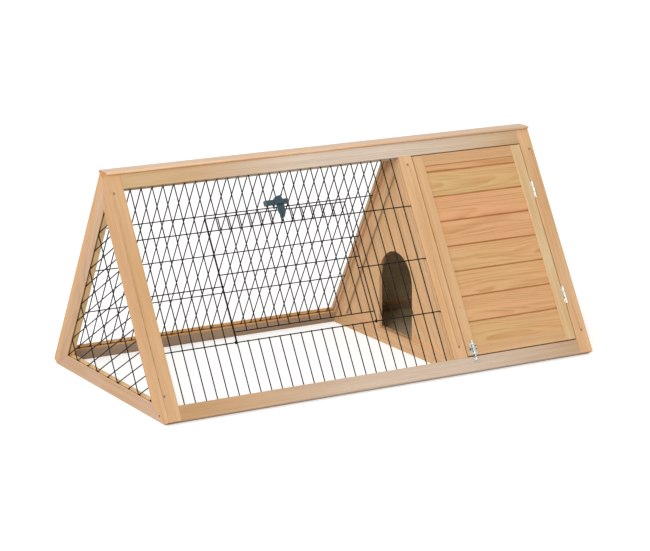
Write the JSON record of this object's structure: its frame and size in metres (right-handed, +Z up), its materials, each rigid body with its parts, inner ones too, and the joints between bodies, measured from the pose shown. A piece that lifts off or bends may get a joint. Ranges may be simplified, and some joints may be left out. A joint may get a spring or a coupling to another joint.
{
  "type": "outdoor rabbit run",
  "caption": "A-frame rabbit run of softwood battens with wire mesh sides, a boarded house at one end, a hinged house door and a drop-down wire door.",
  "frame": {"origin": "centre of the footprint on the ground", "axes": "+X along the ridge towards the boarded house, -Y towards the front with both doors, +Z up"},
  "size_m": [1.18, 0.6306, 0.534],
  "materials": {
    "frame_wood": "planed softwood, clear-stained honey",
    "door_wood": "planed softwood, paler",
    "board_wood": "planed softwood boards, orange stain",
    "floor_wood": "plywood, matt",
    "mesh_wire": "dark coated wire, satin",
    "zinc_plate": "bright zinc plate",
    "screw_steel": "dull dark plate",
    "latch_plastic": "moulded, satin"
  },
  "bodies": {
    "frame": {"front_left_stile": "frame_wood", "front_mid_stile": "frame_wood", "front_right_stile": "frame_wood", "front_top_rail": "frame_wood", "front_bottom_rail": "frame_wood", "back_left_stile": "frame_wood", "back_mid_stile": "frame_wood", "back_right_stile": "frame_wood", "back_top_rail": "frame_wood", "back_bottom_rail": "frame_wood", "ridge_batten": "frame_wood", "left_front_leg": "frame_wood", "left_back_leg": "frame_wood", "left_bottom_rail": "frame_wood", "divider_front_leg": "frame_wood", "divider_back_leg": "frame_wood", "divider_bottom_rail": "frame_wood", "divider_panel": "board_wood", "right_front_leg": "frame_wood", "right_back_leg": "frame_wood", "right_bottom_rail": "frame_wood", "right_end_boards": "board_wood", "house_back_boards": "board_wood", "house_floor": "floor_wood", "front_mesh": "mesh_wire", "back_mesh": "mesh_wire", "left_end_mesh": "mesh_wire", "front_screws": "screw_steel", "back_screws": "screw_steel", "upper_hinge_frame_leaf": "zinc_plate", "upper_hinge_pin": "zinc_plate", "lower_hinge_frame_leaf": "zinc_plate", "lower_hinge_pin": "zinc_plate", "bolt_keeper": "zinc_plate", "latch_keeper": "latch_plastic"},
    "house_door": {"door_left_stile": "door_wood", "door_right_stile": "door_wood", "door_top_rail": "door_wood", "door_bottom_rail": "door_wood", "door_boards": "board_wood", "upper_hinge_door_leaf": "zinc_plate", "lower_hinge_door_leaf": "zinc_plate", "bolt_plate": "zinc_plate"},
    "door_bolt": {"bolt_rod": "zinc_plate"},
    "wire_door": {"wire_door": "mesh_wire"},
    "latch_tongue": {"latch_tongue": "latch_plastic"}
  },
  "joints": [
    {"name": "house_door_hinge", "type": "hinge", "parent": "frame", "child": "house_door", "pos_m": [0.555, -0.16823, 0.26918], "axis": [0, 0.5, 0.866], "range_deg": [0, 150]},
    {"name": "door_bolt_slide", "type": "slide", "parent": "house_door", "child": "door_bolt", "axis": [0, -0.5, -0.866], "range_m": [0, 0.007]},
    {"name": "wire_door_hinge", "type": "hinge", "parent": "frame", "child": "wire_door", "pos_m": [-0.181, -0.22837, 0.14628], "axis": [1, 0, 0], "range_deg": [0, 140]},
    {"name": "latch_tongue_slide", "type": "slide", "parent": "wire_door", "child": "latch_tongue", "axis": [0, 0.5, 0.866], "range_m": [0, 0.008]}
  ]
}
